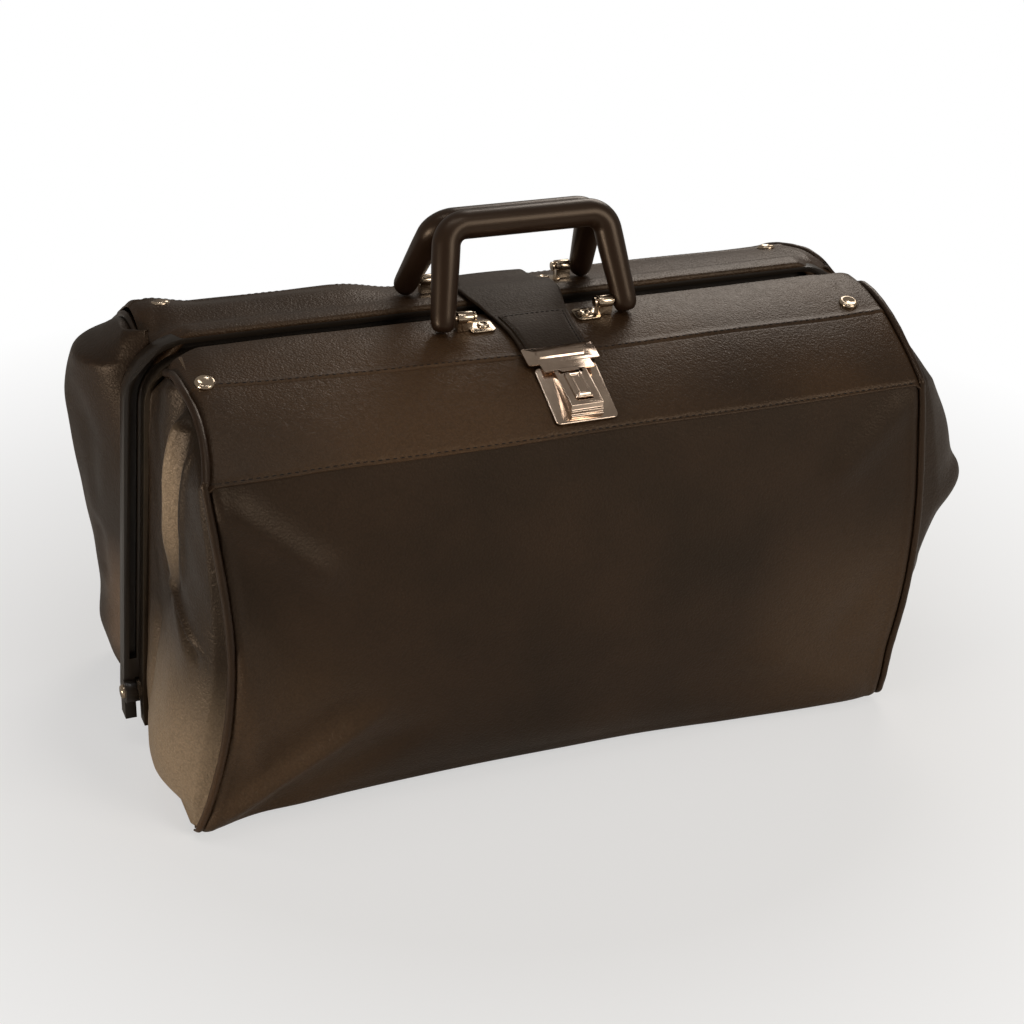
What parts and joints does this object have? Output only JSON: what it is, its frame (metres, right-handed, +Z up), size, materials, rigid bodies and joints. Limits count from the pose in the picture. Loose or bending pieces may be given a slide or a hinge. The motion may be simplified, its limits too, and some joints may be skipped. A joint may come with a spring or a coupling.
{
  "type": "medical bag",
  "caption": "Framed leatherette doctor's bag with a hinged mouth, arched top, closure strap with hasp and slide-button lock, and two folding carrying handles.",
  "frame": {"origin": "middle of the footprint, on the surface the bag stands on", "axes": "+X along the bag's length, to the right when its front is looked at; the front faces -Y; +Z up"},
  "size_m": [0.5752, 0.2708, 0.3569],
  "materials": {
    "leatherette": "pebble-grained, semi-gloss",
    "piping": "smooth, semi-gloss",
    "lining_cloth": "plain woven",
    "fibreboard": "pressed board",
    "frame_steel": "satin",
    "frame_paint": "satin paint",
    "chrome": "polished plate",
    "lock_steel": "plain",
    "handle_plastic": "satin moulded"
  },
  "bodies": {
    "shell": {"bottom_panel": "leatherette", "base_board": "fibreboard", "front_panel": "leatherette", "back_panel": "leatherette", "left_gusset": "leatherette", "right_gusset": "leatherette", "front_left_welt": "piping", "front_right_welt": "piping", "back_left_welt": "piping", "back_right_welt": "piping", "lining": "lining_cloth", "left_hinge_plate": "frame_steel", "right_hinge_plate": "frame_steel", "left_hinge_washer": "frame_steel", "right_hinge_washer": "frame_steel", "left_hinge_rivet": "chrome", "right_hinge_rivet": "chrome"},
    "front_half": {"front_frame": "frame_steel", "front_yoke": "leatherette", "front_stiffener": "fibreboard", "front_yoke_welts": "piping", "front_corner_rivets": "chrome", "front_left_gusset_fold": "leatherette", "front_right_gusset_fold": "leatherette", "front_left_handle_plate": "chrome", "front_right_handle_plate": "chrome", "front_handle_rivets": "chrome", "front_handle_pins": "chrome", "lock_base_plate": "chrome", "lock_backing_plate": "lock_steel", "lock_housing": "chrome", "lock_spring": "lock_steel"},
    "back_half": {"back_frame": "frame_paint", "back_yoke": "leatherette", "back_stiffener": "fibreboard", "back_yoke_welts": "piping", "back_corner_rivets": "chrome", "back_left_gusset_fold": "leatherette", "back_right_gusset_fold": "leatherette", "back_left_handle_plate": "chrome", "back_right_handle_plate": "chrome", "back_handle_rivets": "chrome", "back_handle_pins": "chrome", "strap_anchor": "leatherette"},
    "front_grip": {"front_handle": "handle_plastic"},
    "back_grip": {"back_handle": "handle_plastic"},
    "strap_bridge": {"strap_root": "leatherette"},
    "strap_tip": {"strap_flap": "leatherette", "strap_facing": "leatherette", "hasp_plate": "chrome"},
    "slider": {"lock_button": "chrome", "lock_bolt": "lock_steel"}
  },
  "joints": [
    {"name": "front_frame_hinge", "type": "hinge", "parent": "shell", "child": "front_half", "pos_m": [0, 0, 0.04], "axis": [1, 0, 0], "range_deg": [0, 28]},
    {"name": "back_frame_hinge", "type": "hinge", "parent": "shell", "child": "back_half", "pos_m": [0, 0, 0.04], "axis": [-1, 0, 0], "range_deg": [0, 28]},
    {"name": "front_handle_hinge", "type": "hinge", "parent": "front_half", "child": "front_grip", "pos_m": [0, -0.03408, 0.29414], "axis": [1, 0, 0], "range_deg": [0, 118]},
    {"name": "back_handle_hinge", "type": "hinge", "parent": "back_half", "child": "back_grip", "pos_m": [0, 0.03408, 0.29414], "axis": [-1, 0, 0], "range_deg": [0, 130]},
    {"name": "strap_bridge_fold", "type": "hinge", "parent": "back_half", "child": "strap_bridge", "pos_m": [0, 0.003, 0.2917], "axis": [-1, 0, 0], "range_deg": [0, 62]},
    {"name": "strap_tip_fold", "type": "hinge", "parent": "strap_bridge", "child": "strap_tip", "pos_m": [0, -0.025, 0.28749], "axis": [-1, 0, 0], "range_deg": [0, 80]},
    {"name": "lock_button_slide", "type": "slide", "parent": "front_half", "child": "slider", "axis": [0, -0.9347, -0.3554], "range_m": [0, 0.004], "stiffness_N_per_m": 600, "springref_m": -0.002}
  ],
  "couplings": [
    {"joint": "back_frame_hinge", "follows": "front_frame_hinge", "ratio": 1},
    {"joint": "strap_bridge_fold", "follows": "front_frame_hinge", "ratio": 2.2}
  ]
}
